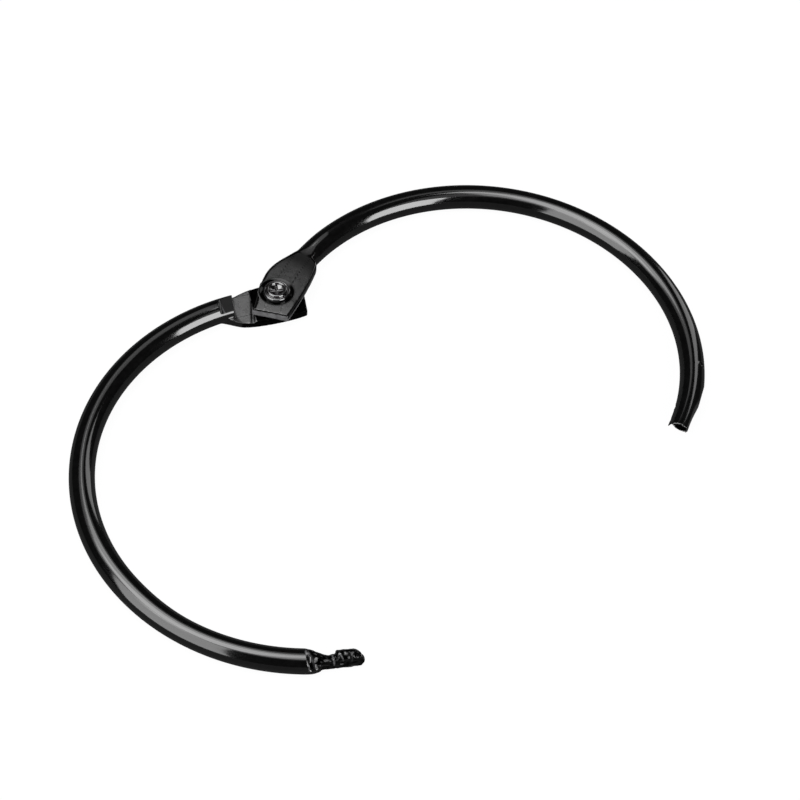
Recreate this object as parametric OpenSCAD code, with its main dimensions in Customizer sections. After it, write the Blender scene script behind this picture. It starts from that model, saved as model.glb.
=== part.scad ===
// Hinged binder ring: two half rings of round wire, riveted at one end and snapped together at the other.
// The rivet axis is the Z axis and z = 0 is the surface that the ring lies on. Millimetres.
// Both halves are drawn closed; the socket half is then swung open about the rivet by open_deg.

/* [Ring] */
// Inner diameter of the closed ring
inner_d = 76; // [64:1:90]
// Diameter of the wire
wire_d = 4.7; // [4.5:0.1:5]
// How far the rivet axis lies outside the wire's centre line
hinge_out = 0.5; // [0.3:0.1:0.7]
// Angle that the socket half stands open
open_deg = 62.9; // [40:0.1:90]
// Angle round the ring from the rivet to the tongue's shoulder
shoulder_deg = 172.5; // [169:0.1:175]

/* [Hinge tabs] */
// Thickness of each pressed tab
tab_t = 1.8; // [1.7:0.05:1.9]
// Rivet axis to the tab's outer edge
tab_out = 3.6; // [3.5:0.1:4]
// Rivet axis to the tab's inner edge
tab_in = 5.3; // [5:0.1:5.6]
// Rivet axis to the tab's end
tab_end = 5.4; // [5:0.1:5.8]
// Rivet axis to the step where the tab leaves the wire
neck_x = 8.6; // [8.4:0.1:9]
// Length of the pressed flat between the wire and that step
neck_flat = 2.5; // [2:0.1:3]
// Height of that flat above the ring's middle plane
neck_z = 1.35; // [1:0.05:1.6]
// Length of the shallow ramp on the tab's outer face
ramp_len = 6; // [4:0.5:8]
// Rivet axis to the line where the lower tab is pressed down for the lap
lap_x = 5; // [4.6:0.1:5.4]
// Depth of that pressing, which is also the play of the hinge
lap_play = 0.15; // [0.1:0.01:0.2]
// Slant of the lap line
lap_slant = 6; // [0:1:10]

/* [Rivet] */
// Diameter of the shank
shank_d = 3; // [2.6:0.1:3.2]
// Diameter of the plain lower head
base_head_d = 5.8; // [5.2:0.1:6.2]
// Diameter of the set upper head
set_head_d = 5.2; // [5.1:0.1:5.6]
// Diameter of the rolled rim on the upper head
rim_d = 4.1; // [3.9:0.1:4.1]
// How far that rim stands above the wire
rim_proud = 0.3; // [0.2:0.05:0.4]
// Diameter of the round pressing in the upper tab
seat_d = 6.6; // [6.2:0.1:6.8]
// Depth of that pressing
seat_depth = 0.25; // [0.15:0.05:0.3]
// Running clearance of the shank in the upper tab, on the radius
hinge_clear = 0.05; // [0.02:0.01:0.08]
// Clearance of the shank in the lower tab, on the radius
seat_clear = 0.01; // [0.01:0.01:0.03]
// Width of the cross staked into the upper head
cross_w = 0.5; // [0.4:0.1:0.6]

/* [Tongue] */
// Length of the nose beyond the tongue's shoulder
nose_len = 9.6; // [8.4:0.1:10]
// How much smaller the nose's radius is than the wire's
nose_step = 0.4; // [0.38:0.01:0.48]
// Centre of the nose to the flat pressed on its outer side
nose_flat = 1.1; // [1:0.05:1.2]
// Centre of the nose to the facet along its upper inner edge
nose_facet = 1.6; // [1.5:0.05:1.8]
// Radius that rounds the inner corner of the nose's tip
tip_r = 2.2; // [1.8:0.1:2.5]
// How far the snap notch bites into the nose
notch_depth = 1.8; // [1.4:0.1:1.9]
// Shoulder to the steep side of the snap notch
notch_end = 4.95; // [4.6:0.05:5.4]
// Radius of the notch's saddle
notch_r = 4; // [3:0.1:4.2]
// Width of the groove that runs round the nose beside the notch
groove_w = 0.35; // [0.25:0.05:0.5]
// Depth of that groove
groove_depth = 0.18; // [0.1:0.02:0.3]
// Length of the bevel at the shoulder
bevel_len = 0.9; // [0.5:0.1:1.2]
// Depth of that bevel
bevel_depth = 0.6; // [0.3:0.05:0.7]

/* [Socket] */
// Clearance between the nose and its socket
clasp_clear = 0.12; // [0.1:0.01:0.16]
// Gap left between the shoulder and the closed mouth
mouth_gap = 0.2; // [0.15:0.05:0.4]
// Wall left where the outer side of the mouth is pressed in
mouth_wall = 0.32; // [0.3:0.02:0.5]
// Length of the pressed flat beside the mouth
press_flat = 3.9; // [3:0.1:5]
// Mouth to the far end of the pressing
press_len = 12; // [10:0.5:14]
// How far the underside of the mouth is cut back
mouth_relief = 2.2; // [1.5:0.1:3]
// Mouth to the snap dent
dent_x = 5.6; // [5:0.1:6]
// Radius of the snap dent
dent_r = 1.1; // [0.8:0.1:1.4]
// Depth of the snap dent
dent_depth = 0.22; // [0.1:0.02:0.3]

/* [Hidden] */
$fn = 96;

wire_r = wire_d / 2;
ring_r = inner_d / 2 + wire_r;
pin_r = ring_r + hinge_out;           // rivet axis to the ring's centre
head_t = wire_r - tab_t;              // height of the plain head, which reaches down to z = 0
far = 20;                             // reach of the cutting solids

// The tongue's shoulder, and the circle about the rivet that the nose and its socket follow
shoulder = [-ring_r * sin(shoulder_deg), -pin_r + ring_r * cos(shoulder_deg)];
clasp_r = norm(shoulder);
shoulder_a = atan2(shoulder[1], shoulder[0]);
function clasp_deg(len) = len / clasp_r * 180 / PI;
function ring_deg(len) = len / ring_r * 180 / PI;
function clasp_point(len, radius) =
    radius * [cos(shoulder_a + clasp_deg(len)), sin(shoulder_a + clasp_deg(len))];
nose_r = wire_r - nose_step;
nose_in = clasp_r - nose_r;
nose_root = 2;                        // how far the nose reaches back into the wire
notch_floor = nose_in + notch_depth;
notch_rise = 0.25;                    // how much shallower the notch is at its steep side
saddle_len = 1.6;                     // from the notch's saddle to its steep side
bore_len = nose_len + 1;

// The pressed side of the mouth, by its distance from the clasp's circle: mouth, end of the flat, knee, end
press_out = clasp_r + nose_flat + clasp_clear + mouth_wall;
press_rise = 0.06;
press_knee = clasp_r + wire_r - 0.3;
press_end = clasp_r + wire_r - 0.12;
relief_z = 0.55;                      // top of the cut under the mouth, above the middle plane
lip_len = mouth_relief;               // shoulder to the end of the lip that fills that cut
lip_z = -1.2;                         // top of the lip's end, from the middle plane
facet_tilt = 38;                      // how far above the horizontal the facet and the bevel face

// The rivet's heads: a bevel on the plain one; on the set one a bead, a groove, the rolled rim and a cup
head_edge = 0.25;
set_base_z = wire_r + tab_t - seat_depth;
bead_r = 0.28;
bead_z = set_base_z + 0.36;           // centre of the outer bead
groove_z = bead_z + 0.14;             // floor of the groove between the bead and the rim
rim_r = 0.35;                         // radius of the rolled edge itself
rim_mid = rim_d / 2 - rim_r;
rim_z = wire_d + rim_proud - rim_r;
cup_r = 0.3;                          // flat at the middle of the cup
cup_z = rim_z - 0.38;                 // height of that flat
cross_len = 2.5;
cross_z = cup_z - 0.12;               // floor of the cross

// Points along a cubic curve from a to d, steered by b and c
function curve(a, b, c, d, n = 12) =
    [for (i = [0 : n]) let (t = i / n, u = 1 - t)
        u * u * u * a + 3 * u * u * t * b + 3 * u * t * t * c + t * t * t * d];

// Where a tab's edge runs into the wire; side is 1 for the outer edge and -1 for the inner one
root_w = sqrt(wire_r * wire_r - tab_t * tab_t) - 0.1;
function wire_edge(x, side) = sqrt(pow(ring_r + side * root_w, 2) - x * x) - pin_r;

// Outlines of the tabs: x runs from the rivet towards the tab's own wire, y away from the ring's centre
function upper_outline() = let (
    flare = [14, wire_edge(14, 1)],
    crown = [2.5, tab_out + 0.1],
    hip = [7.4, 0.15 - tab_in],
    root = [10.6, wire_edge(10.6, -1)])
    concat(
        curve(flare, [10.5, -0.4], [8, tab_out + 0.3], crown),
        curve(crown, [0.5, tab_out + 0.1], [-2.5, tab_out - 0.35], [1.4 - tab_end, tab_out - 0.6]),
        [[-tab_end - 0.3, tab_out - 0.55], [0.1 - tab_end, -0.5], [0.4 - tab_end, 1.35 - tab_in]],
        curve([0.7 - tab_end, 1.2 - tab_in], [-1.5, 0.65 - tab_in], [3, 0.15 - tab_in], hip),
        curve(hip, [9, 0.15 - tab_in], [10.1, 0.4 - tab_in], root));

function lower_outline() = let (
    flare = [11.2, wire_edge(11.2, 1)],
    crown = [2.5, tab_out - 0.2],
    hip = [6.2, -tab_in - 0.1],
    root = [11.6, wire_edge(11.6, -1)])
    concat(
        curve(flare, [9, 0.8], [7.5, tab_out - 1.3], crown),
        curve(crown, [0.5, tab_out], [-2.5, tab_out - 0.3], [1.2 - tab_end, tab_out - 0.7]),
        [[-tab_end, tab_out - 1.4], [-tab_end - 0.1, 1.55 - tab_in]],
        curve([0.3 - tab_end, 1.4 - tab_in], [-2, 0.35 - tab_in], [3.5, -tab_in - 0.3], hip),
        curve(hip, [8, -tab_in - 0.1], [9.4, 1.15 - tab_in], root));

// Round wire from one ring angle to another, both counted from the rivet and away from it
module wire(from, to) {
    translate([0, -pin_r, wire_r])
        rotate([0, 0, 90 + from])
            rotate_extrude(angle = to - from)
                translate([ring_r, 0]) circle(wire_r);
}

// Frame on the wire's centre line at a ring angle: x points outward and y runs along the wire
module on_wire(deg) {
    translate([0, -pin_r, wire_r])
        rotate([0, 0, 90 + deg])
            translate([ring_r, 0, 0]) children();
}

// Place of a point on the clasp's circle, len mm beyond the shoulder and at a given radius
module on_clasp(len, radius) {
    rotate([0, 0, shoulder_a + clasp_deg(len)]) translate([radius, 0, 0]) children();
}

// Prism across the wire, from a profile in the distance along it and the height above its centre
module along(width) {
    rotate([90, 0, 90]) translate([0, 0, -width / 2]) linear_extrude(width) children();
}

// Prism across the tab, from a profile in x and height above the middle plane
module across(profile) {
    translate([0, far, wire_r])
        rotate([90, 0, 0])
            linear_extrude(2 * far) polygon(profile);
}

// What the press takes off the wire: two steps on the lap side and a shallow ramp on the outer side
module lap_steps() {
    top = wire_r + 1;
    across([
        [neck_x + neck_flat + 0.6, top],
        [neck_x + neck_flat, neck_z],
        [neck_x, neck_z],
        [neck_x - 0.1, 0],
        [0, 0],
        [0, top]]);
}

module outer_ramp() {
    low = -wire_r - 1;
    run = neck_x + neck_flat;
    across([[0, -tab_t], [run, -tab_t], [run + ramp_len, -wire_r], [run + ramp_len, low], [0, low]]);
}

// Half ring on the +X side with its tab on the low side; to is the ring angle of its far end
module pressed_wire(outline, to) {
    difference() {
        mirror([1, 0, 0]) wire(asin((neck_x - 0.4) / ring_r), to);
        lap_steps();
        outer_ramp();
    }
    translate([0, 0, wire_r - tab_t]) linear_extrude(tab_t) polygon(outline);
}

// Round bar with a flat outer side and a facet, which follows the clasp's circle from one distance
// to another; grow makes it larger all round
module clasp_bar(grow, from, to) {
    translate([0, 0, wire_r])
        rotate([0, 0, shoulder_a + clasp_deg(from)])
            rotate_extrude(angle = clasp_deg(to - from))
                translate([clasp_r, 0])
                    intersection() {
                        circle(nose_r + grow);
                        translate([-far, -far]) square([far + nose_flat + grow, 2 * far]);
                        rotate(-facet_tilt)
                            translate([-nose_facet - grow, -far]) square([2 * far, 2 * far]);
                    }
}

// Nose of the tongue: a bar with a rounded tip, a deep snap notch on the ring's inner side and a groove
module nose() {
    saddle = notch_end - saddle_len;
    difference() {
        clasp_bar(0, -nose_root, nose_len);
        // Rounds the inner corner of the tip
        on_clasp(nose_len - tip_r, nose_in + tip_r)
            difference() {
                translate([-tip_r - 1, 0, 0]) cube([tip_r + 1, tip_r + 1, wire_d]);
                translate([0, 0, -1]) cylinder(r = tip_r, h = wire_d + 2);
            }
        // Saddle of the notch, and its floor up to the steep side
        on_clasp(saddle, notch_floor - notch_r) cylinder(r = notch_r, h = wire_d);
        linear_extrude(wire_d)
            polygon([
                clasp_point(saddle, notch_floor),
                clasp_point(notch_end, notch_floor - notch_rise),
                clasp_point(notch_end, nose_in - 1),
                clasp_point(saddle, nose_in - 1)]);
        // Groove round the nose
        difference() {
            clasp_bar(1, notch_end - groove_w, notch_end);
            clasp_bar(-groove_depth, notch_end - 1, notch_end + 1);
        }
    }
}

// What is cut off the wire's end: all but a slanting lip below, and a bevel on the upper inner side
module shoulder_cut() {
    top = wire_r + 1;
    on_wire(shoulder_deg) {
        along(far)
            polygon([
                [0, top],
                [0, relief_z - clasp_clear],
                [lip_len, lip_z],
                [lip_len + 1, lip_z],
                [lip_len + 1, top]]);
        rotate([0, facet_tilt - 90, 0])
            along(far)
                polygon([[-bevel_len, wire_r], [0, wire_r - bevel_depth], [0, top], [-bevel_len, top]]);
    }
}

module tongue_half() {
    color([0.09, 0.09, 0.1])
        difference() {
            union() {
                difference() {
                    mirror([1, 0, 0]) pressed_wire(lower_outline(), shoulder_deg + ring_deg(lip_len));
                    shoulder_cut();
                }
                nose();
            }
            translate([0, 0, -1]) cylinder(d = shank_d + 2 * seat_clear, h = wire_d + 2);
            // Lap: everything on the rivet's side of a slanted line is pressed down by the hinge's play
            translate([-lap_x, 0, wire_r - lap_play])
                rotate([0, 0, -lap_slant])
                    translate([0, -far, 0]) cube([far, 2 * far, wire_d]);
        }
}

// The socket half drawn closed
module socket_closed() {
    mouth_deg = shoulder_deg + ring_deg(mouth_gap);
    difference() {
        translate([0, 0, wire_d])
            mirror([0, 0, 1])
                pressed_wire(upper_outline(), 360 - mouth_deg);
        translate([0, 0, -1]) cylinder(d = shank_d + 2 * hinge_clear, h = wire_d + 2);
        translate([0, 0, wire_r + tab_t - seat_depth]) cylinder(d = seat_d, h = wire_d);
        // Socket for the nose
        clasp_bar(clasp_clear, -nose_root, bore_len);
        // Outer side pressed in towards the mouth: a flat, then two ramps out to the round wire
        translate([0, 0, -1])
            linear_extrude(wire_d + 2)
                polygon([
                    clasp_point(-nose_root, press_out),
                    clasp_point(press_flat, press_out + press_rise),
                    clasp_point((press_flat + press_len) / 2, press_knee),
                    clasp_point(press_len, press_end),
                    clasp_point(press_len, clasp_r + far),
                    clasp_point(-nose_root, clasp_r + far)]);
        // Underside of the mouth cut back
        on_wire(mouth_deg)
            translate([-far / 2, -1, -wire_r - 1]) cube([far, mouth_relief + 1, wire_r + 1 + relief_z]);
        // Snap dent on the ring's inner side
        on_wire(mouth_deg + ring_deg(dent_x))
            translate([-wire_r - dent_r + dent_depth, 0, 0]) sphere(dent_r);
    }
}

module socket_half() {
    color([0.09, 0.09, 0.1])
        rotate([0, 0, open_deg]) socket_closed();
}

module hinge_rivet() {
    color([0.12, 0.12, 0.13])
        difference() {
            rotate_extrude() {
                polygon([
                    [0, 0],
                    [base_head_d / 2 - head_edge, 0],
                    [base_head_d / 2, head_edge],
                    [base_head_d / 2, head_t],
                    [shank_d / 2, head_t],
                    [shank_d / 2, set_base_z],
                    [set_head_d / 2, set_base_z],
                    [set_head_d / 2, bead_z],
                    [set_head_d / 2 - bead_r, groove_z],
                    [rim_mid + rim_r, groove_z],
                    [rim_mid + rim_r, rim_z],
                    [rim_mid - rim_r, rim_z],
                    [cup_r, cup_z],
                    [0, cup_z]]);
                translate([set_head_d / 2 - bead_r, bead_z]) circle(bead_r);
                translate([rim_mid, rim_z]) circle(rim_r);
            }
            // Cross staked into the cup, which leaves four lobes
            for (a = [0, 90])
                rotate([0, 0, a])
                    translate([-cross_len / 2, -cross_w / 2, cross_z])
                        cube([cross_len, cross_w, 1]);
        }
}

tongue_half();
socket_half();
hinge_rivet();
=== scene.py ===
import math
import bpy
import numpy as np
from mathutils import Matrix, Vector, kdtree, noise


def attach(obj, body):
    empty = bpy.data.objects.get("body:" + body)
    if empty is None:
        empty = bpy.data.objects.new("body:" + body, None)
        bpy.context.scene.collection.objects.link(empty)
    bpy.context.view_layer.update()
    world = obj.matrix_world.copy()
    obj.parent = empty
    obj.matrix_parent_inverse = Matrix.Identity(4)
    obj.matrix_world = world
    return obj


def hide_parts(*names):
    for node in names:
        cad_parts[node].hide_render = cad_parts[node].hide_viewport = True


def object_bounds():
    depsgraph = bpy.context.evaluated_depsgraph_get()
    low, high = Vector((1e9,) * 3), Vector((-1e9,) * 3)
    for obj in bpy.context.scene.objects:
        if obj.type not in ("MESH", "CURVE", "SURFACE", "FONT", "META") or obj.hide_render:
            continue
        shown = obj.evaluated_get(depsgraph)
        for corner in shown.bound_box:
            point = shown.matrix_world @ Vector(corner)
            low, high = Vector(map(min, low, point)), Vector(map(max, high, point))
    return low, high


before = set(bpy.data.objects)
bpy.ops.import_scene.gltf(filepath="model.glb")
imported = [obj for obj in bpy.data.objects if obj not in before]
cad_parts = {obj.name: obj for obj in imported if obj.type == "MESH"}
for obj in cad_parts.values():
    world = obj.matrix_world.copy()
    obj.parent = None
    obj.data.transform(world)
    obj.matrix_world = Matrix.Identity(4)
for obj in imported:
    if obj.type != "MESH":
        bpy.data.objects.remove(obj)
cadLow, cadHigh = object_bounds()
print("frame loaded:", sorted(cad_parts))

mm = 0.001
ring = {"radius": 40.35, "wire": 2.35, "centreY": -40.85, "middle": 2.35, "openDeg": 62.9}  # millimetres
clasp = {"radius": 81.03, "shoulderDeg": -93.73, "ringDeg": 172.5}
# the press leaves each tab a little dished: how far its face falls away, and where the ramp rounds into
# the wire; lengths are in millimetres, and heights are above the wire's middle
tabs = {
    "outerFace": 1.8, "rampFrom": 10.3, "rampTo": 18.0, "roundFrom": 10.6, "roundTo": 14.0, "roundUp": (0.1, 0.5),
    "seatFrom": 2.62, "seatTo": 3.4, "seatZone": 3.75, "seatUp": 1.3, "seatDepth": 0.25,
    "endFrom": 1.5, "endRun": 4, "endReach": 8, "endPower": 1.4, "endFall": 0.24, "endUp": (0.9, 1.6),
    "lapX": 5.0, "lapSlant": 6.0, "plateFrom": -8.7, "plateReach": 11, "plateUp": 0.3, "plateOver": 0.2,
    "plateTop": 3.6, "plateRun": 9, "plateFall": 0.62,
}
# how wide the rounding of a tab's edges is, how far it falls and how hard it starts
rims = {
    1: {"outer": (0.8, 0.42, 2.0), "inner": (0.35, 0.2, 1.6), "end": (0.22, 0.17, 1.1), "reach": (9.0, 13.0)},
    -1: {"outer": (0.4, 0.24, 1.7), "inner": (0.45, 0.13, 2.0), "end": (0.3, 0.15, 2.0), "reach": (8.0, 8.7)},
}
rimDepth = {"near": 1.3, "fade": 0.1, "wallUp": 0.2, "wallNormal": 0.5}
# where the metal's marks, its painted highlights and its painted shade begin and end: parts of a normal,
# millimetres from the rivet, and heights
marks = {
    "offRound": (0.03, 0.12), "level": (0.93, 0.985), "wall": (0.35, 0.6), "tabReach": 8, "lapReach": 9,
    "upperFade": (4.5, 10.5), "upperUp": 1.2,
    "seatPressed": (3.1, 3.8), "seatShadeRange": (3.2, 3.65), "seatShadeShare": 0.75,
    "endNormal": (0.4, 0.8), "endUp": 1.5, "edgeNormal": (0.2, 0.4), "edgeLevel": (0.4, 0.6), "edgeFrom": 3.8,
    "edgeUp": 0.9, "topFrom": (6.5, 9.5), "topTo": (10, 14), "topShadeShare": 0.6, "rimHighlightNormal": -0.3,
    "rimHighlightUp": (0.55, 0.75), "neckShare": 0.9, "neckFrom": (8.4, 9.2), "lowerFade": (10.5, 14.5), "lapUp": 0.5,
    "plateSheenShare": 0.16, "plateReach": 8.8, "lapHighlightLine": (0.04, 0.14), "lapHighlightShift": 0.03, "lapHighlightShare": 0.35,
    "neckLines": ((8.62, 0.3), (11.05, 0.45)), "neckLine": (0.05, 0.17), "neckLineUp": -1.9,
    "tabEndNormal": (0.5, 0.8), "tabEndHighlightShare": 0.5, "neckShadeFrom": (8.4, 8.8), "neckShadeTo": (10.5, 14),
    "neckShadeShare": 0.6, "wallShade": 0.95,
    # the noises on the nose's strokes of wear and painted highlight and on its painted shade: share, size in
    # millimetres and seed
    "noseDeg": (165, 200), "wearGlintBase": 0.85, "wearGlintNoise": (0.25, 0.35, 4.0),
    "noseShadeBase": 0.82, "noseShadeNoise": (0.3, 0.6, 7.0), "noseShadeFrom": (0.05, 0.4), "noseShadeOut": 2.0,
}


def selectOnly(*objects):
    bpy.ops.object.select_all(action="DESELECT")
    for item in objects:
        item.select_set(True)
    bpy.context.view_layer.objects.active = objects[0]


def editAll(piece):
    selectOnly(piece)
    bpy.ops.object.mode_set(mode="EDIT")
    bpy.ops.mesh.select_mode(type="VERT")
    bpy.ops.mesh.select_all(action="SELECT")


def leaveEdit():
    bpy.ops.object.mode_set(mode="OBJECT")


def copyNode(nodeName, name):
    # the node's loose triangles, merged, in millimetres while it is worked on
    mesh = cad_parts[nodeName].data.copy()
    mesh.materials.clear()
    mesh.transform(Matrix.Scale(1 / mm, 4))
    piece = bpy.data.objects.new(name, mesh)
    bpy.context.scene.collection.objects.link(piece)
    editAll(piece)
    bpy.ops.mesh.remove_doubles(threshold=0.0005)
    bpy.ops.mesh.normals_make_consistent(inside=False)
    leaveEdit()
    return piece


def applyModifier(piece, kind, **values):
    selectOnly(piece)
    modifier = piece.modifiers.new(kind.title(), kind)
    for key, value in values.items():
        setattr(modifier, key, value)
    bpy.ops.object.modifier_apply(modifier=modifier.name)


def soften(piece, voxel, rounds):
    # pressed metal has no sharp edges: fine voxels, then a light smoothing
    applyModifier(piece, "REMESH", mode="VOXEL", voxel_size=voxel, use_smooth_shade=True)
    applyModifier(piece, "SMOOTH", factor=0.5, iterations=rounds)


def points(piece):
    co = np.empty(len(piece.data.vertices) * 3)
    piece.data.vertices.foreach_get("co", co)
    return co.reshape(-1, 3)


def setPoints(piece, co):
    piece.data.vertices.foreach_set("co", co.ravel())
    piece.data.update()


def cutAt(piece, side, deg, keepBefore, fill):
    a = math.radians(deg)
    along = Vector((side * math.cos(a), -math.sin(a), 0))
    editAll(piece)
    bpy.ops.mesh.bisect(plane_co=(0, ring["centreY"], ring["middle"]), plane_no=along,
                        use_fill=fill, clear_outer=keepBefore, clear_inner=not keepBefore,
                        threshold=0.0001)
    leaveEdit()


def toWireRound(piece, reach):
    # puts the plain wire's vertices exactly on its round surface
    co = points(piece)
    flat = co[:, :2] - np.array([0, ring["centreY"]])
    far = np.linalg.norm(flat, axis=1)
    centre = np.column_stack([flat / far[:, None] * ring["radius"] + [0, ring["centreY"]],
                              np.full(len(co), ring["middle"])])
    out = co - centre
    size = np.linalg.norm(out, axis=1)
    plain = np.abs(size - ring["wire"]) < reach
    co[plain] = centre[plain] + out[plain] / size[plain, None] * ring["wire"]
    setPoints(piece, co)


def smoothStep(value, low, high):
    t = np.clip((value - low) / (high - low), 0, 1)
    return t * t * (3 - 2 * t)


def roughness(co, size, seed):
    # even noise between about -1 and 1, with lumps of the given size in millimetres
    return np.array([noise.noise(Vector(p) / size + Vector((seed, seed, seed))) for p in co]) * 1.6


def vertexNormals(piece):
    out = np.empty(len(piece.data.vertices) * 3)
    piece.data.vertices.foreach_get("normal", out)
    return out.reshape(-1, 3)


def ringPlace(co, side):
    # angle round the ring from the rivet, and the place in the wire's section: outward and up
    x, y = side * co[:, 0], co[:, 1] - ring["centreY"]
    far = np.hypot(x, y)
    return np.degrees(np.arctan2(x, y)) % 360, far - ring["radius"], co[:, 2] - ring["middle"]


def sectionAcross(out, up):
    # the place across the slanting section: first towards its upper inner side, then towards its facing side
    tilt = math.radians(nose["slant"])
    return -math.sin(tilt) * out + math.cos(tilt) * up, math.cos(tilt) * out + math.sin(tilt) * up


def claspPlace(co):
    # distance beyond the tongue's shoulder along the clasp's circle, and the place in that section
    angle = np.degrees(np.arctan2(co[:, 1], co[:, 0])) - clasp["shoulderDeg"]
    out = np.hypot(co[:, 0], co[:, 1]) - clasp["radius"]
    return np.radians(angle) * clasp["radius"], out, co[:, 2] - ring["middle"]


def moveInSection(co, outward, up, centre):
    # puts points back from a section's outward and up; centre is the hub that outward runs from
    flat = co[:, :2] - centre
    far = np.linalg.norm(flat, axis=1)
    base = ring["radius"] if centre[1] else clasp["radius"]
    co[:, :2] = centre + flat / far[:, None] * (base + outward)[:, None]
    co[:, 2] = ring["middle"] + up


def noseWearAndGlint(s, out, up):
    # strokes on the nose, partly where the enamel has worn thin and partly painted highlights where its forged
    # faces catch the lamps: given past the shoulder and as a share of the height
    across, facing = sectionAcross(out, up)
    past = np.clip(s, 0, None)
    upper, lower = (np.interp(past, *zip(*nose[key])) for key in ("upper", "lower"))
    down = (upper - across) / (upper + lower)
    height = upper + lower
    wornAndLit = np.zeros(len(s))
    for s1, t1, s2, t2, width, strength in nose["wearAndGlint"]:
        run = np.array([s2 - s1, (t2 - t1) * nose["strokeHeight"]])
        share = np.clip(((s - s1) * run[0] + (down - t1) * height * run[1]) / (run @ run + 1e-9), 0, 1)
        far = np.hypot(s - s1 - share * (s2 - s1), (down - t1 - share * (t2 - t1)) * height)
        wornAndLit = np.maximum(wornAndLit, strength * (1 - smoothStep(far / width, *nose["strokeFade"])))
    return wornAndLit * (s > nose["strokeFrom"]) * (np.abs(facing) > nose["strokeFacing"])


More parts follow.
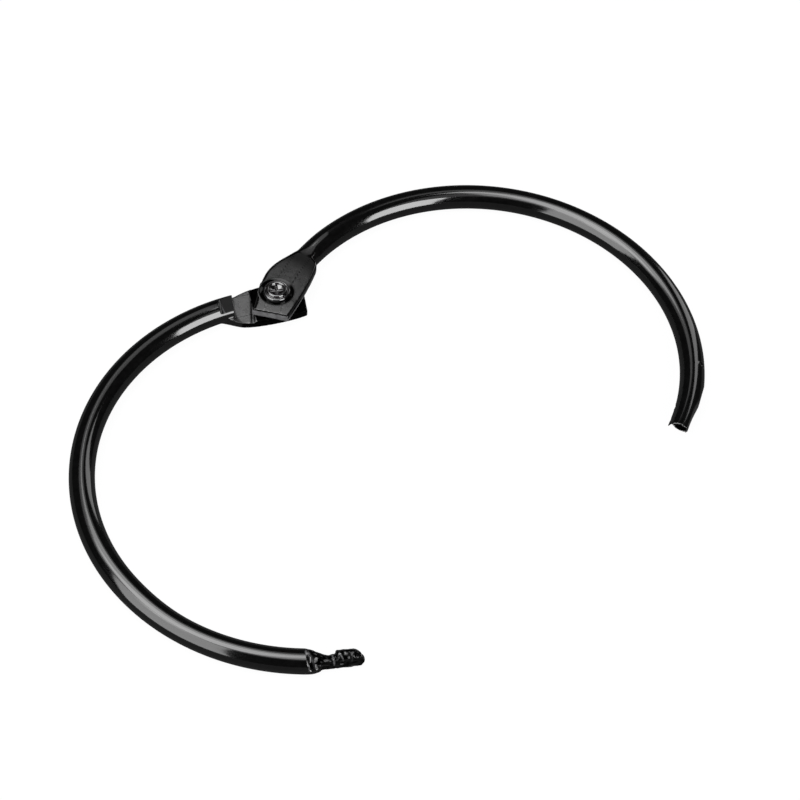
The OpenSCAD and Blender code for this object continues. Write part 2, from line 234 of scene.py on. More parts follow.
def markMetal(piece, side):
    # pressed is 1 on the flats that the press has made and 0 on the plain wire, the edges and the walls;
    # the second mark lightens the colour into worn strokes on the nose and into painted highlights on edges,
    # lines and end faces; the third is painted shade that kills the enamel's highlights in recesses, on walls and
    # edges and on the nose; side is 0 for the rivet
    co = points(piece)
    amount, rough, deep = np.zeros(len(co)), np.zeros(len(co)), np.zeros(len(co))
    if side:
        deg, out, up = ringPlace(co, side)
        normals = vertexNormals(piece)
        flat = smoothStep(np.abs(np.hypot(out, up) - ring["wire"]), *marks["offRound"])
        level = smoothStep(np.abs(normals[:, 2]), *marks["level"])
        fromRivet = np.hypot(co[:, 0], co[:, 1])
        wall = 1 - smoothStep(np.abs(normals[:, 2]), *marks["wall"])
        amount = flat * level
        if side > 0:
            upperFace = up > marks["upperUp"]
            onTab = fromRivet < marks["tabReach"]
            amount *= 1 - smoothStep(fromRivet, *marks["upperFade"])
            amount *= np.where(upperFace, smoothStep(fromRivet, *marks["seatPressed"]), 1)
            # painted highlight: the upper tab's end face is made light grey
            endFaceHighlight = smoothStep(-normals[:, 0], *marks["endNormal"]) * onTab * (up < marks["endUp"])
            # painted shade: a dark band on the tab's rounded end edge, a dark ring in the rivet's seat, and a
            # darkened flat top towards the wire
            endEdgeShade = smoothStep(-normals[:, 0], *marks["edgeNormal"]) * onTab * (fromRivet > marks["edgeFrom"])
            endEdgeShade *= smoothStep(normals[:, 2], *marks["edgeLevel"]) * (up > marks["edgeUp"])
            seat = upperFace * (1 - smoothStep(fromRivet, *marks["seatShadeRange"]))
            deep = np.maximum(endEdgeShade, marks["seatShadeShare"] * seat)
            top = marks["topShadeShare"] * level * smoothStep(fromRivet, *marks["topFrom"])
            deep = np.maximum(deep, top * (1 - smoothStep(fromRivet, *marks["topTo"])))
            # painted highlight: a light line along the foot of the tab's near wall
            rimHighlight = (fromRivet < marks["lapReach"]) * (normals[:, 1] < marks["rimHighlightNormal"])
            rimHighlight = rimHighlight * (1 - smoothStep(up, *marks["rimHighlightUp"]))
            rough = wall * np.maximum(endFaceHighlight, rimHighlight)
        else:
            amount *= (1 - marks["neckShare"] * smoothStep(fromRivet, *marks["neckFrom"])) * (
                1 - smoothStep(fromRivet, *marks["lowerFade"]))
            lapLine = -tabs["lapX"] - co[:, 1] * math.tan(math.radians(tabs["lapSlant"]))
            nearLap = (fromRivet < marks["lapReach"]) & (np.abs(up) < marks["lapUp"])
            inLap = nearLap & (co[:, 0] > lapLine)
            amount = np.where(inLap, 0, amount)
            # painted sheen: the lower plate a little lighter; painted highlight lines along the lap's edge and
            # across the neck
            rough = marks["plateSheenShare"] * amount * (fromRivet < marks["plateReach"])
            lapHighlightLine = 1 - smoothStep(np.abs(co[:, 0] - lapLine - marks["lapHighlightShift"]), *marks["lapHighlightLine"])
            rough = np.maximum(rough, marks["lapHighlightShare"] * lapHighlightLine * nearLap * (co[:, 1] > 0))
            for at, wearAndGlint in marks["neckLines"]:
                line = 1 - smoothStep(np.abs(fromRivet - at), *marks["neckLine"])
                rough = np.maximum(rough, wearAndGlint * line * (up > marks["neckLineUp"]) * level * (co[:, 0] < 0))
            # painted highlight: the lower tab's end face is made light grey
            tabEndHighlight = wall * smoothStep(normals[:, 0], *marks["tabEndNormal"]) * (fromRivet < marks["tabReach"])
            # painted shade: the lap under the upper tab black, the tab's walls nearly black, and the neck flat
            # darkened
            neckShade = level * smoothStep(fromRivet, *marks["neckShadeFrom"])
            neckShade = neckShade * (1 - smoothStep(fromRivet, *marks["neckShadeTo"]))
            walls = wall * (fromRivet < marks["lapReach"]) * marks["wallShade"]
            deep = np.where(inLap, 1.0, np.maximum(walls, marks["neckShadeShare"] * neckShade)) * (1 - tabEndHighlight)
            rough = np.maximum(rough, marks["tabEndHighlightShare"] * tabEndHighlight)
            s, clawOut, clawUp = claspPlace(co)
            onNose = (deg > marks["noseDeg"][0]) & (deg < marks["noseDeg"][1])
            # the nose's strokes: worn enamel and painted highlight
            share, size, seed = marks["wearGlintNoise"]
            wornAndLit = noseWearAndGlint(s, clawOut, clawUp) * (marks["wearGlintBase"] + share * roughness(co, size, seed))
            wornAndLit = np.clip(wornAndLit, 0, 1)
            rough = np.where(onNose, wornAndLit, rough)
            # painted shade over the nose's body, broken by noise and left off the strokes
            share, size, seed = marks["noseShadeNoise"]
            noseShade = np.clip(marks["noseShadeBase"] + share * roughness(co, size, seed), 0, 1)
            noseShade = noseShade * smoothStep(s, *marks["noseShadeFrom"]) * (1 - wornAndLit)
            deep = np.where(onNose, noseShade * (clawOut < marks["noseShadeOut"]), deep)
    for label, values in (("pressed", amount), ("wearAndHighlight", np.clip(rough, 0, 1)), ("deep", deep)):
        layer = piece.data.attributes.new(label, "FLOAT", "POINT")
        layer.data.foreach_set("value", values)


def finishPiece(piece, node, body, material):
    selectOnly(piece)
    bpy.ops.object.shade_smooth()
    piece.data.transform(Matrix.Scale(mm, 4))
    setPoints(piece, np.clip(points(piece), cadLow, cadHigh))
    piece.data.materials.clear()
    piece.data.materials.append(material)
    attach(piece, body)
    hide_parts(node)


def newGroup(name, inputs, outputs):
    group = bpy.data.node_groups.new(name, "ShaderNodeTree")
    for kind, label, value in inputs:
        socket = group.interface.new_socket(name=label, in_out="INPUT", socket_type=kind)
        if value is not None:
            socket.default_value = value
    for kind, label in outputs:
        group.interface.new_socket(name=label, in_out="OUTPUT", socket_type=kind)
    source = group.nodes.new("NodeGroupInput")
    target = group.nodes.new("NodeGroupOutput")
    return group, source, target


def addNode(tree, kind, inputs=None, **settings):
    node = tree.nodes.new(kind)
    for key, value in settings.items():
        setattr(node, key, value)
    for key, value in (inputs or {}).items():
        if isinstance(value, bpy.types.NodeSocket):
            tree.links.new(value, node.inputs[key])
        else:
            node.inputs[key].default_value = value
    return node


def mathNode(tree, operation, a, b=None):
    values = {0: a}
    if b is not None:
        values[1] = b
    return addNode(tree, "ShaderNodeMath", values, operation=operation).outputs[0]


def rangeNode(tree, value, fromLow, fromHigh, toLow, toHigh):
    return addNode(tree, "ShaderNodeMapRange",
                   {"Value": value, "From Min": fromLow, "From Max": fromHigh,
                    "To Min": toLow, "To Max": toHigh}).outputs[0]


def makeSurfaceGroup():
    # orange peel, dust nibs and long drawing lines of a dipped wire
    group, source, target = newGroup(
        "enamelSurface",
        [("NodeSocketVector", "Vector", None), ("NodeSocketFloat", "Peel Scale", 900.0),
         ("NodeSocketFloat", "Nib Scale", 420.0), ("NodeSocketFloat", "Centre X", 0.0),
         ("NodeSocketFloat", "Centre Y", 0.0), ("NodeSocketFloat", "Line Scale", 5200.0)],
        [("NodeSocketFloat", "Peel"), ("NodeSocketFloat", "Nibs"), ("NodeSocketFloat", "Lines")])
    get = source.outputs
    peel = addNode(group, "ShaderNodeTexNoise",
                   {"Vector": get["Vector"], "Scale": get["Peel Scale"], "Detail": 3.0, "Roughness": 0.55})
    cell = addNode(group, "ShaderNodeTexVoronoi", {"Vector": get["Vector"], "Scale": get["Nib Scale"]})
    nibs = rangeNode(group, cell.outputs["Distance"], 0.05, 0.16, 1.0, 0.0)
    parts = addNode(group, "ShaderNodeSeparateXYZ", {0: get["Vector"]}).outputs
    x = mathNode(group, "SUBTRACT", parts["X"], get["Centre X"])
    y = mathNode(group, "SUBTRACT", parts["Y"], get["Centre Y"])
    across = mathNode(group, "SQRT", mathNode(group, "ADD", mathNode(group, "MULTIPLY", x, x),
                                              mathNode(group, "MULTIPLY", y, y)))
    turn = mathNode(group, "MULTIPLY", mathNode(group, "ARCTAN2", y, x), 0.0006)
    wireSpace = addNode(group, "ShaderNodeCombineXYZ", {"X": across, "Y": parts["Z"], "Z": turn})
    lines = addNode(group, "ShaderNodeTexNoise",
                    {"Vector": wireSpace.outputs[0], "Scale": get["Line Scale"], "Detail": 2.0})
    for label, socket in (("Peel", peel.outputs["Fac"]), ("Nibs", nibs), ("Lines", lines.outputs["Fac"])):
        group.links.new(socket, target.inputs[label])
    return group


surfaceGroup = makeSurfaceGroup()


def makeEnamel(name, look):
    material = bpy.data.materials.new(name)
    material.use_nodes = True
    tree = material.node_tree
    shader = tree.nodes["Principled BSDF"]
    coords = addNode(tree, "ShaderNodeTexCoord").outputs["Object"]
    surface = addNode(tree, "ShaderNodeGroup", node_tree=surfaceGroup)
    tree.links.new(coords, surface.inputs["Vector"])
    surface.inputs["Centre X"].default_value = look["centre"][0]
    surface.inputs["Centre Y"].default_value = look["centre"][1]
    peel, nibs, lines = (surface.outputs[k] for k in ("Peel", "Nibs", "Lines"))

    pressed = addNode(tree, "ShaderNodeAttribute", attribute_name="pressed").outputs["Fac"]
    mottle = rangeNode(tree, peel, 0.36, 0.64, 0.0, 1.0)

    tone = addNode(tree, "ShaderNodeMix", {0: mottle, 6: look["dark"], 7: look["light"]}, data_type="RGBA")
    satin = addNode(tree, "ShaderNodeMix", {0: mottle, 6: look["satinDark"], 7: look["satinLight"]},
                    data_type="RGBA")
    colour = addNode(tree, "ShaderNodeMix", {0: pressed, 6: tone.outputs[2], 7: satin.outputs[2]},
                     data_type="RGBA")
    # wear and painted highlights: the colour is mixed towards a light grey where the second mark is set
    wearAndHighlight = addNode(tree, "ShaderNodeAttribute", attribute_name="wearAndHighlight").outputs["Fac"]
    wearHighlightMix = mathNode(tree, "MULTIPLY", wearAndHighlight, rangeNode(tree, peel, 0.3, 0.7, 0.5, 1.0))
    bareAndHighlight = addNode(tree, "ShaderNodeMix", {0: wearHighlightMix, 6: colour.outputs[2], 7: look["bareAndHighlight"]}, data_type="RGBA")
    tree.links.new(bareAndHighlight.outputs[2], shader.inputs["Base Color"])

    # painted shade: where this mark is 1 the near-black enamel turns metallic, so it loses its highlights and
    # reads as shade
    deep = addNode(tree, "ShaderNodeAttribute", attribute_name="deep").outputs["Fac"]
    tree.links.new(deep, shader.inputs["Metallic"])

    gloss = rangeNode(tree, lines, 0.3, 0.7, look["rough"][0], look["rough"][1])
    matt = rangeNode(tree, mottle, 0.0, 1.0, look["satinRough"][0], look["satinRough"][1])
    blend = addNode(tree, "ShaderNodeMix", {0: pressed, 2: gloss, 3: matt})
    tree.links.new(blend.outputs[0], shader.inputs["Roughness"])
    streaks = mathNode(tree, "MULTIPLY", mathNode(tree, "SUBTRACT", 1.0, pressed),
                       mathNode(tree, "MULTIPLY", lines, look["lines"]))
    peelDepth = rangeNode(tree, pressed, 0.0, 1.0, look["peel"], look["satinPeel"])
    height = mathNode(tree, "ADD", streaks, mathNode(tree, "MULTIPLY", peel, peelDepth))
    height = mathNode(tree, "ADD", height, mathNode(tree, "MULTIPLY", nibs, look["nibs"]))
    bump = addNode(tree, "ShaderNodeBump", {"Height": height, "Strength": 1.0, "Distance": 1.0})
    tree.links.new(bump.outputs[0], shader.inputs["Normal"])
    shader.inputs["IOR"].default_value = look["ior"]
    return material


openTurn = math.radians(ring["openDeg"])
socketCentre = (-ring["centreY"] * mm * math.sin(openTurn), ring["centreY"] * mm * math.cos(openTurn))
# the last light grey is both bare metal in worn strokes and painted highlight
enamel = {"dark": (0.0006, 0.0006, 0.0006, 1), "light": (0.002, 0.002, 0.002, 1),
          "satinDark": (0.003, 0.003, 0.003, 1), "satinLight": (0.012, 0.012, 0.012, 1),
          "rough": (0.08, 0.13), "satinRough": (0.24, 0.34), "peel": 0.000002, "satinPeel": 0.000012,
          "lines": 0.0000008, "nibs": 0.000002, "ior": 1.9, "bareAndHighlight": (0.22, 0.22, 0.225, 1)}
tongueEnamel = makeEnamel("tongueEnamel", {**enamel, "centre": (0, ring["centreY"] * mm)})
socketEnamel = makeEnamel("socketEnamel", {**enamel, "centre": socketCentre})
rivetLook = {"centre": (0, 0), "ior": 2.3, "rough": (0.05, 0.08), "peel": 0.000001}
rivetEnamel = makeEnamel("rivetEnamel", {**enamel, **rivetLook})
print("materials made")

halves = {
    "tongue_wire": {"node": "tongue_half", "body": "tongue", "side": -1, "openDeg": 0,
                    "hingeCut": 27, "claspCut": 168, "voxel": 0.1, "material": tongueEnamel},
    "socket_wire": {"node": "socket_half", "body": "socket", "side": 1, "openDeg": ring["openDeg"],
                    "hingeCut": 27, "claspCut": 162.5, "voxel": 0.113, "material": socketEnamel},
}
finish = {"quickVoxel": 0.2, "rounds": 10, "capDeg": 0.6,
          "joinDeg": 0.25, "spinSteps": 100, "roundReach": 0.03,
          "rivetVoxel": 0.06, "rivetRounds": 3}
# the forged nose, in millimetres past the shoulder and from the clasp's circle: its upper and lower edge seen
# square on to slant, how thick it is the other way, and the two lines between which it leaves the wire
nose = {
    "slant": 52.0, "step": 0.1, "points": 150, "start": -2.6, "wireUpper": 0.9, "square": 3.2,
    "slimDeg": (122, 142), "slimEnd": 168.7,
    "upper": ((0.0, 1.97), (0.5, 1.88), (1.2, 1.64), (2.0, 1.24), (2.5, 1.02), (3.0, 0.82), (3.7, 0.67),
              (4.4, 0.82), (4.75, 0.86), (4.9, 1.3), (5.15, 1.44), (6.0, 1.42), (7.5, 1.4), (8.2, 1.34),
              (8.6, 1.15), (9.0, 0.86), (9.3, 0.56), (9.55, 0.16), (9.7, -0.3)),
    "lower": ((0.0, 2.32), (0.5, 2.3), (1.2, 2.2), (2.35, 2.0), (4.5, 1.98), (4.62, 1.86), (4.8, 1.86),
              (4.92, 1.98), (8.9, 1.98), (9.2, 1.88), (9.45, 1.62), (9.6, 1.3), (9.7, 0.95)),
    "thick": ((0.0, 1.95), (0.35, 1.66), (2.0, 1.58), (4.0, 1.5), (4.42, 1.68), (4.5, 1.64), (4.62, 1.46),
              (4.85, 1.48), (5.05, 1.74), (8.8, 1.7), (9.3, 1.4), (9.6, 0.9), (9.7, 0.5)),
    "flat": ((0.0, 2.3), (1.6, 2.1), (2.35, 1.17), (9.8, 1.17)),
    "round": 2.02, "lipTop": 0.46, "outerFlat": 1.16, "reliefEnd": 2.3, "reliefUp": 0.4,
    # the shoulder's two lines: where each crosses the wire, and its slope
    "first": (-0.1, 0.17), "second": (0.1, 1.42, 1.9),
    "lumps": ((1.5, 0.07, 3.0), (0.7, 0.045, 9.0), (0.4, 0.012, 5.0)), "lumpsFrom": 1.0, "lumpsOver": 0.7,
    "lumpShift": 0.6, "proud": 0.04,
    "tipPit": {"at": (8.7, 0.25), "size": 0.85, "depth": 0.2, "fade": (0.6, 1.0)},
    # strokes of worn enamel and of painted highlight: start, share of the height there, end, share of the height
    # there, half width, strength
    "wearAndGlint": ((-0.3, 0.05, -0.1, 0.55, 0.24, 1.0), (-0.1, 0.55, 0.12, 0.76, 0.16, 1.0),
             (0.15, 0.12, 1.0, 0.55, 0.42, 0.5), (1.2, 0.62, 2.4, 0.68, 0.16, 0.3),
             (2.4, 0.68, 3.6, 0.62, 0.16, 0.25), (2.15, 0.42, 2.2, 0.46, 0.2, 0.5),
             (3.6, 0.28, 3.75, 0.36, 0.22, 0.35), (4.2, 0.03, 4.36, 0.42, 0.22, 0.9),
             (4.36, 0.42, 4.5, 0.93, 0.24, 1.0), (5.38, 0.1, 5.75, 0.33, 0.2, 0.7),
             (5.75, 0.33, 5.98, 0.54, 0.18, 0.7), (6.3, 0.12, 6.42, 0.16, 0.2, 0.6),
             (5.55, 0.72, 5.85, 0.73, 0.22, 1.0), (7.4, 0.8, 7.55, 0.84, 0.2, 0.8),
             (7.1, 0.1, 7.46, 0.3, 0.16, 0.4), (5.4, 0.9, 8.4, 0.92, 0.3, 0.3),
             (7.5, 0.22, 7.45, 0.6, 0.18, 0.4), (9.1, 0.2, 9.5, 0.42, 0.16, 0.8),
             (9.5, 0.42, 9.58, 0.75, 0.15, 0.6)),
    "strokeHeight": 3.4, "strokeFade": (0.25, 1.0), "strokeFrom": -1.2, "strokeFacing": 0.3,
}


def placeOnNose(s, out, up):
    # from a section's place to the frame; the sections turn from the ring's to the clasp's about the shoulder
    share = smoothStep(s, -1.5, 1.5)
    side = np.radians(clasp["shoulderDeg"]) + s / clasp["radius"]
    onClasp = (clasp["radius"] + out)[:, None] * np.column_stack([np.cos(side), np.sin(side)])
    turn = np.radians(90 + clasp["ringDeg"]) + s / ring["radius"]
    onRing = (ring["radius"] + out)[:, None] * np.column_stack([np.cos(turn), np.sin(turn)])
    onRing = onRing + [0, ring["centreY"]]
    flat = onRing * (1 - share)[:, None] + onClasp * share[:, None]
    return np.column_stack([flat, ring["middle"] + up])


def forgeNose(name):
    tilt = math.radians(nose["slant"])
    sinTilt, cosTilt = math.sin(tilt), math.cos(tilt)
    theta = np.linspace(0, 2 * math.pi, nose["points"], endpoint=False)
    stations = np.arange(nose["start"], nose["upper"][-1][0] + 0.01, nose["step"])
    co = []
    for s in stations:
        past = max(s, 0)
        upper, lower, thick, flat = (np.interp(past, *zip(*nose[key]))
                                     for key in ("upper", "lower", "thick", "flat"))
        middle, half = (upper - lower) / 2, (upper + lower) / 2
        power = nose["square"]
        reach = ((np.abs(np.cos(theta)) / half) ** power
                 + (np.abs(np.sin(theta)) / thick) ** power) ** (-1 / power)
        across, facing = middle + reach * np.cos(theta), reach * np.sin(theta)
        out, up = -sinTilt * across + cosTilt * facing, cosTilt * across + sinTilt * facing
        # above the lip the outer side is forged flat, so that it enters the socket
        out = np.where(up > nose["lipTop"], np.minimum(out, nose["outerFlat"]), np.minimum(out, flat))
        size = np.hypot(out, up)
        relief = (past < nose["reliefEnd"]) & (up < nose["reliefUp"])
        limit = np.where(relief, ring["wire"], nose["round"])
        shrink = np.minimum(1, limit / size)
        out, up = out * shrink, up * shrink
        wireAcross = ring["wire"] * np.cos(theta)
        wireAcross = np.where(wireAcross > 0, wireAcross * nose["wireUpper"], wireAcross)
        wireFacing = ring["wire"] * np.sin(theta)
        wireOut = -sinTilt * wireAcross + cosTilt * wireFacing
        wireUp = cosTilt * wireAcross + sinTilt * wireFacing
        first = np.minimum(nose["first"][0] - nose["first"][1] * wireAcross, 0.0)
        second = nose["second"][0] + np.clip(-wireAcross - nose["second"][1], 0, None) * nose["second"][2]
        share = np.clip((s - first) / (second - first), 0, 1)
        out, up = wireOut * (1 - share) + out * share, wireUp * (1 - share) + up * share
        co.append(placeOnNose(np.full(len(theta), s), out, up))
    co = np.array(co)
    count = len(theta)
    faces = [(i * count + j, i * count + (j + 1) % count, (i + 1) * count + (j + 1) % count, (i + 1) * count + j)
             for i in range(len(stations) - 1) for j in range(count)]
    tip = len(stations) * count
    faces += [(tip - count + j, tip - count + (j + 1) % count, tip) for j in range(count)]
    vertices = np.vstack([co.reshape(-1, 3), co[-1].mean(axis=0)])
    mesh = bpy.data.meshes.new(name)
    mesh.from_pydata(vertices.tolist(), [], faces)
    piece = bpy.data.objects.new(name, mesh)
    bpy.context.scene.collection.objects.link(piece)
    editAll(piece)
    bpy.ops.mesh.normals_make_consistent(inside=False)
    leaveEdit()
    # lumps and a pit left by the forging, never standing prouder than the socket's clearance
    along = np.append(np.repeat(stations, count), stations[-1])
    section = np.append(np.tile(theta, len(stations)), 0)
    rise = np.zeros(len(vertices))
    for size, depth, seed in nose["lumps"]:
        rise += depth * (roughness(vertices, size, seed) - nose["lumpShift"])
    pit = nose["tipPit"]
    upperNow, lowerNow = (np.interp(along, *zip(*nose[key])) for key in ("upper", "lower"))
    height = (upperNow - lowerNow) / 2 + (upperNow + lowerNow) / 2 * np.cos(section)
    far = np.hypot(along - pit["at"][0], height - pit["at"][1]) / pit["size"]
    rise -= np.where(np.sin(section) > 0, pit["depth"] * (1 - smoothStep(far, *pit["fade"])), 0)
    lumpsFull = nose["lumpsFrom"] + nose["lumpsOver"]
    rise = np.minimum(rise, nose["proud"]) * smoothStep(along, nose["lumpsFrom"], lumpsFull)
    setPoints(piece, vertices + vertexNormals(piece) * rise[:, None])
    return piece


def shapeTabs(piece, side):
    co = points(piece)
    out, up = ringPlace(co, side)[1:]
    fromRivet = np.hypot(co[:, 0], co[:, 1])
    if side > 0:
        seat = (up > tabs["seatUp"]) & (fromRivet > tabs["seatFrom"]) & (fromRivet < tabs["seatZone"])
        seatFall = tabs["seatDepth"] * (1 - smoothStep(fromRivet, tabs["seatFrom"], tabs["seatTo"]))
        up = np.where(seat, tabs["outerFace"] - seatFall, up)
        # the outer face's ramp is rounded into the wire, and the tab's end falls away
        crown = np.sqrt(np.clip(1 - (out / (ring["wire"] + 0.01)) ** 2, 0, 1))
        ramp = smoothStep(fromRivet, tabs["rampFrom"], tabs["rampTo"])
        height = tabs["outerFace"] + (ring["wire"] - tabs["outerFace"]) * ramp
        share = smoothStep(fromRivet, tabs["roundFrom"], tabs["roundTo"]) * smoothStep(up, *tabs["roundUp"])
        share *= (np.abs(out) < ring["wire"]) & (co[:, 0] > 0) & (co[:, 1] > ring["centreY"])
        up = up + (height * crown - up) * share
        end = np.clip((-co[:, 0] - tabs["endFrom"]) / tabs["endRun"], 0, 1) * (fromRivet < tabs["endReach"])
        up -= tabs["endFall"] * end ** tabs["endPower"] * smoothStep(up, *tabs["endUp"])
    else:
        plate = (co[:, 0] < -tabs["lapX"] + tabs["plateOver"]) & (co[:, 0] > tabs["plateFrom"])
        plate &= (np.abs(up) < tabs["plateUp"]) & (fromRivet < tabs["plateReach"])
        fall = tabs["plateFall"] * np.clip((tabs["plateTop"] - co[:, 1]) / tabs["plateRun"], 0, 1)
        up -= np.where(plate, fall, 0)
    co[:, 2] = ring["middle"] + up
    setPoints(piece, co)
    roundRims(piece, side)


def roundRims(piece, side):
    # the press rounds a tab's edges: every point falls by its distance from the nearest wall
    spec = rims[side]
    top = tabs["outerFace"] if side > 0 else 0.0
    co, normals = points(piece), vertexNormals(piece)
    up = ringPlace(co, side)[2]
    fromRivet = np.hypot(co[:, 0], co[:, 1])
    near = (up > top - rimDepth["near"]) & (fromRivet < spec["reach"][1]) & (fromRivet > tabs["seatZone"])
    upright = np.abs(normals[:, 2]) < rimDepth["wallNormal"]
    walls = np.where(near & upright & (up < top - rimDepth["wallUp"]))[0]
    tree = kdtree.KDTree(len(walls))
    for i, k in enumerate(walls):
        tree.insert((co[k, 0], co[k, 1], 0), i)
    tree.balance()
    chosen = np.where(near)[0]
    found = [tree.find((co[k, 0], co[k, 1], 0))[1:] for k in chosen]
    facing = normals[walls[[i for i, far in found]]]
    far = np.array([far for i, far in found])
    shares = {"outer": np.clip(facing[:, 1], 0, None) ** 2, "inner": np.clip(-facing[:, 1], 0, None) ** 2,
              "end": np.clip(-facing[:, 0], 0, None) ** 2}
    total = sum(shares.values()) + 1e-6
    fall = sum(shares[key] / total * depth * np.clip(1 - far / width, 0, 1) ** power
               for key, (width, depth, power) in ((key, spec[key]) for key in shares))
    here = smoothStep(up[chosen], top - rimDepth["near"], top - rimDepth["fade"])
    fall *= here * (1 - smoothStep(fromRivet[chosen], *spec["reach"]))
    co[chosen, 2] -= fall
    setPoints(piece, co)


# the mouth is pressed in on its outer side and left with uneven, burred lips
mouth = {"press": 0.5, "from": 1.22, "flatEnd": 3.9, "end": 9.0, "burr": 0.14, "burrSize": 0.55, "lip": 0.7,
         "facet": 1.7, "facetDeg": 142, "open": 2.09, "openTo": 2.2, "openFrom": (1.1, 1.6),
         "reach": (-1, 12), "lipOver": 0.2, "burrShift": 0.3}


def pressMouth(piece):
    co = points(piece)
    s, out, up = claspPlace(co)
    part = (s < mouth["reach"][1]) & (s > mouth["reach"][0]) & (co[:, 1] < ring["centreY"])
    share = (1 - smoothStep(s, mouth["flatEnd"], mouth["end"])) * mouth["press"]
    over = np.clip(out - mouth["from"], 0, None)
    # the bore's facet is opened out to the full round at the mouth
    size, turn = np.hypot(out, up), np.arctan2(up, out) - math.radians(mouth["facetDeg"])
    bore = mouth["facet"] / np.clip(np.cos(turn), 0.5, 1)
    inFacet = part & (np.cos(turn) > mouth["facet"] / mouth["open"]) & (size < mouth["openTo"]) & (size > 1)
    beyond = (np.clip(size, bore, None) - bore) * (mouth["openTo"] - mouth["open"])
    opened = mouth["open"] + beyond / (mouth["openTo"] - bore)
    grow = 1 + (opened / size - 1) * (1 - smoothStep(s, *mouth["openFrom"])) * inFacet
    out, up = out * grow, up * grow
    moved = co.copy()
    moveInSection(moved, out - over * share, up, np.array([0.0, 0.0]))
    co[part] = moved[part]
    lip = np.where(part & (s < mouth["lip"] + mouth["lipOver"]))[0]
    angle = np.radians(clasp["shoulderDeg"] + np.degrees(s[lip] / clasp["radius"]))
    along = np.column_stack([-np.sin(angle), np.cos(angle), np.zeros(len(lip))])
    fade = 1 - smoothStep(s[lip], mouth["lipOver"], mouth["lip"])
    ragged = roughness(co[lip], mouth["burrSize"], 5.0)
    burr = np.clip(ragged + mouth["burrShift"], -mouth["burrShift"], None)
    co[lip] += along * (fade * mouth["burr"] * burr)[:, None]
    setPoints(piece, co)


# knocks and burrs on the wire: ring angle, angle in the section, size and height in millimetres
knocks = ((165.3, 50, 0.55, -0.2), (165.3, 50, 1.0, 0.07), (178.6, 178, 0.4, 0.2), (178.2, 150, 0.3, 0.06),
          (181.0, 165, 0.35, 0.1), (184.5, 182, 0.5, 0.12))


def knockWire(piece, places):
    co = points(piece)
    for deg, section, size, height in places:
        here, out, up = ringPlace(co, 1)
        a = math.radians(section)
        distance = np.sqrt((np.radians(here - deg) * ring["radius"]) ** 2
                           + (out - math.cos(a) * ring["wire"]) ** 2 + (up - math.sin(a) * ring["wire"]) ** 2)
        co += vertexNormals(piece) * (height * (1 - smoothStep(distance / size, 0.0, 1.0)))[:, None]
    setPoints(piece, co)


def cutEnd(spec, name, deg, before, closeTurn):
    # one end of a half ring, cut off with a little plain wire and softened as pressed metal is
    end = copyNode(spec["node"], name)
    end.data.transform(closeTurn)
    cutAt(end, spec["side"], deg, before, True)
    soften(end, spec["voxel"], finish["rounds"])
    toWireRound(end, finish["roundReach"])
    cutAt(end, spec["side"], deg + (-finish["capDeg"] if before else finish["capDeg"]), before, False)
    toWireRound(end, finish["roundReach"])
    return end


def slimWire(piece):
    # the wire is drawn a little thinner on its upper inner side towards the nose
    co = points(piece)
    deg, out, up = ringPlace(co, -1)
    tilt = math.radians(nose["slant"])
    across = -math.sin(tilt) * out + math.cos(tilt) * up
    cut = np.clip(across, 0, None) * (1 - nose["wireUpper"]) * smoothStep(deg, *nose["slimDeg"])
    cut = cut * (deg < nose["slimEnd"])
    out, up = out + math.sin(tilt) * cut, up - math.cos(tilt) * cut
    moveInSection(co, out, up, np.array([0.0, ring["centreY"]]))
    setPoints(piece, co)


def makeHalf(name, spec):
    side = spec["side"]
    closeTurn = Matrix.Rotation(-math.radians(spec["openDeg"]), 4, "Z")
    hinge = cutEnd(spec, name + "_hinge", spec["hingeCut"], True, closeTurn)
    shapeTabs(hinge, side)
    if side < 0:
        claspEnd = forgeNose(name + "_clasp")
    else:
        claspEnd = cutEnd(spec, name + "_clasp", spec["claspCut"], False, closeTurn)
        pressMouth(claspEnd)
        knockWire(claspEnd, knocks)
    sweep = spec["claspCut"] - spec["hingeCut"] + 2 * finish["capDeg"] - finish["joinDeg"]
    editAll(hinge)
    bpy.ops.mesh.select_all(action="DESELECT")
    bpy.ops.mesh.select_non_manifold(extend=False, use_wire=False, use_boundary=True,
                                     use_multi_face=False, use_non_contiguous=False, use_verts=False)
    bpy.ops.mesh.spin(steps=finish["spinSteps"], dupli=False, angle=side * math.radians(sweep),
                      center=(0, ring["centreY"], ring["middle"]), axis=(0, 0, 1))
    leaveEdit()
    selectOnly(hinge, claspEnd)
    bpy.ops.object.join()
    editAll(hinge)
    bpy.ops.mesh.select_all(action="DESELECT")
    bpy.ops.mesh.select_non_manifold(extend=False, use_wire=False, use_boundary=True,
                                     use_multi_face=False, use_non_contiguous=False, use_verts=False)
    bpy.ops.mesh.bridge_edge_loops()
    bpy.ops.mesh.select_all(action="SELECT")
    bpy.ops.mesh.normals_make_consistent(inside=False)
    leaveEdit()
    hinge.name = name
    if side < 0:
        slimWire(hinge)
    markMetal(hinge, side)
    hinge.data.transform(closeTurn.inverted())
    finishPiece(hinge, spec["node"], spec["body"], spec["material"])
    print(name, "made with", len(hinge.data.polygons), "faces")


for name, spec in halves.items():
    makeHalf(name, spec)

rivet = copyNode("hinge_rivet", "rivet_set")
soften(rivet, finish["rivetVoxel"], finish["rivetRounds"])
markMetal(rivet, 0)
finishPiece(rivet, "hinge_rivet", "tongue", rivetEnamel)
print("rivet made with", len(rivet.data.polygons), "faces")

floorLook = {"radius": 3.0, "colour": (0.055, 0.055, 0.055, 1), "lift": 0.955, "glossShare": 0.03,
             "drop": 0.00002}
worldLook = {"glossShare": 0.02, "dim": 0.012}


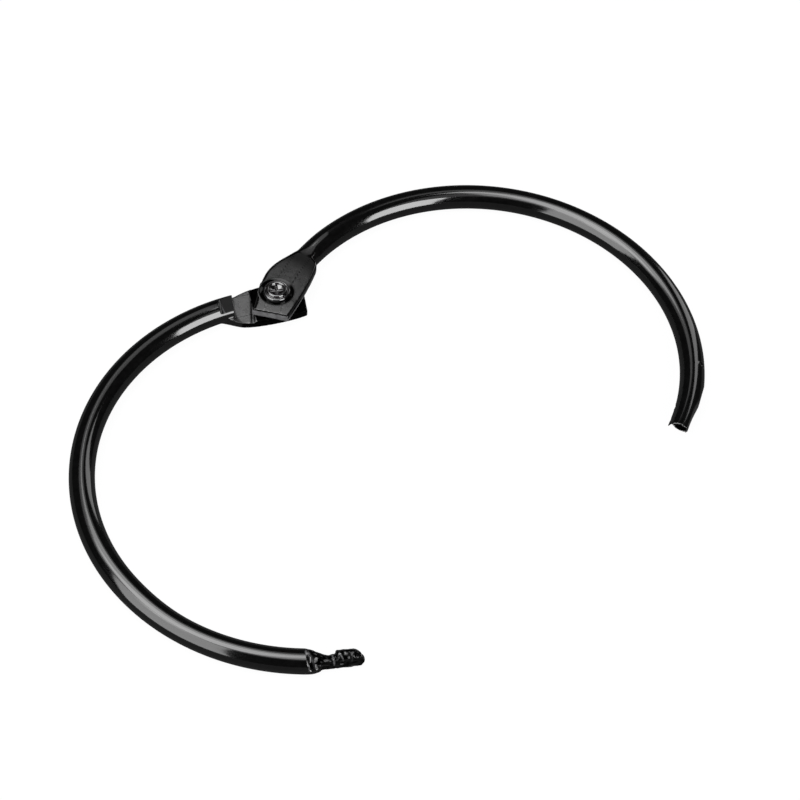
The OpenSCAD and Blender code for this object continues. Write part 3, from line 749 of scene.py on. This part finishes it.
def pathShare(tree, glossShare):
    # camera and transmission rays in full, glossy rays in part
    rays = addNode(tree, "ShaderNodeLightPath").outputs
    gloss = mathNode(tree, "MULTIPLY", rays["Is Glossy Ray"], glossShare)
    share = mathNode(tree, "ADD", rays["Is Camera Ray"], gloss)
    return mathNode(tree, "ADD", share, rays["Is Transmission Ray"])


bpy.ops.object.select_all(action="DESELECT")
bpy.ops.mesh.primitive_circle_add(vertices=96, radius=floorLook["radius"], fill_type="NGON",
                                  location=(0, 0, -floorLook["drop"]))
bpy.ops.object.transform_apply(location=True)
floor = bpy.context.active_object
floor.name = "floor"
floorMaterial = bpy.data.materials.new("palePaper")
floorMaterial.use_nodes = True
floorTree = floorMaterial.node_tree
floorTree.nodes.remove(floorTree.nodes["Principled BSDF"])
paper = addNode(floorTree, "ShaderNodeBsdfDiffuse", {"Color": floorLook["colour"]})
liftAmount = mathNode(floorTree, "MULTIPLY", pathShare(floorTree, floorLook["glossShare"]), floorLook["lift"])
lift = addNode(floorTree, "ShaderNodeEmission", {"Color": (1, 1, 1, 1), "Strength": liftAmount})
both = addNode(floorTree, "ShaderNodeAddShader", {0: paper.outputs[0], 1: lift.outputs[0]})
floorTree.links.new(both.outputs[0], floorTree.nodes["Material Output"].inputs["Surface"])
floor.data.materials.append(floorMaterial)

world = bpy.data.worlds.new("studio")
bpy.context.scene.world = world
world.use_nodes = True
worldTree = world.node_tree
backdrop = worldTree.nodes["Background"]
backdrop.inputs["Color"].default_value = (1, 1, 1, 1)
worldShare = mathNode(worldTree, "MAXIMUM", pathShare(worldTree, worldLook["glossShare"]), worldLook["dim"])
worldTree.links.new(worldShare, backdrop.inputs["Strength"])

aim = Vector((0.02, -0.03, 0.002))
lampDistance = 0.6
# azimuth, elevation and roll in degrees, half width and half height in metres, brightness
lamps = {
    "frontRight": (-54.8, 17.0, -2.4, 0.185, 0.391, 7.38),
    "frontLeft": (-152.1, 19.8, 15.8, 0.238, 0.514, 3.12),
    "backRight": (40.8, 26.4, 1.8, 0.079, 0.223, 1.85),
    "backLeft": (127.5, 63.5, -4.9, 0.327, 0.173, 0.66),
    "overLeft": (137.7, 72.4, 68.9, 0.206, 0.222, 2.58),
    "overBack": (173.1, 75.8, -15.8, 0.179, 0.238, 2.2),
    "overFront": (-112.4, 73.1, -1.2, 0.489, 0.132, 0.49),
}
lampLevel = 0.72
for name, (azimuth, elevation, roll, halfWide, halfHigh, bright) in lamps.items():
    a, e, r = (math.radians(v) for v in (azimuth, elevation, roll))
    away = Vector((math.cos(a) * math.cos(e), math.sin(a) * math.cos(e), math.sin(e)))
    sideways = Vector((-math.sin(a), math.cos(a), 0))
    upward = away.cross(sideways)
    if upward.z < 0:
        upward.negate()
    sideways, upward = (math.cos(r) * sideways + math.sin(r) * upward,
                        math.cos(r) * upward - math.sin(r) * sideways)
    light = bpy.data.lights.new(name, "AREA")
    light.shape = "RECTANGLE"
    light.size, light.size_y = 2 * halfWide, 2 * halfHigh
    light.energy = bright * lampLevel * math.pi * light.size * light.size_y
    lamp = bpy.data.objects.new(name, light)
    axes = Matrix((upward.cross(away), upward, away)).transposed().to_4x4()
    lamp.matrix_world = Matrix.Translation(aim + away * lampDistance) @ axes
    lamp.visible_camera = False
    bpy.context.scene.collection.objects.link(lamp)

view = {"place": (-0.0390926, -0.2787491, 0.3374135), "right": (0.98541, -0.16257, 0.05047),
        "up": (0.09881, 0.78774, 0.60804), "back": (-0.13861, -0.59418, 0.79230), "lens": 102.24}
cameraData = bpy.data.cameras.new("camera")
cameraData.lens = view["lens"]
cameraData.sensor_width = 36
camera = bpy.data.objects.new("camera", cameraData)
turn = Matrix((view["right"], view["up"], view["back"])).transposed().to_4x4()
camera.matrix_world = Matrix.Translation(view["place"]) @ turn
bpy.context.scene.collection.objects.link(camera)
bpy.context.scene.camera = camera
bpy.context.scene.view_settings.view_transform = "Standard"
print("stage, lamps and camera made")
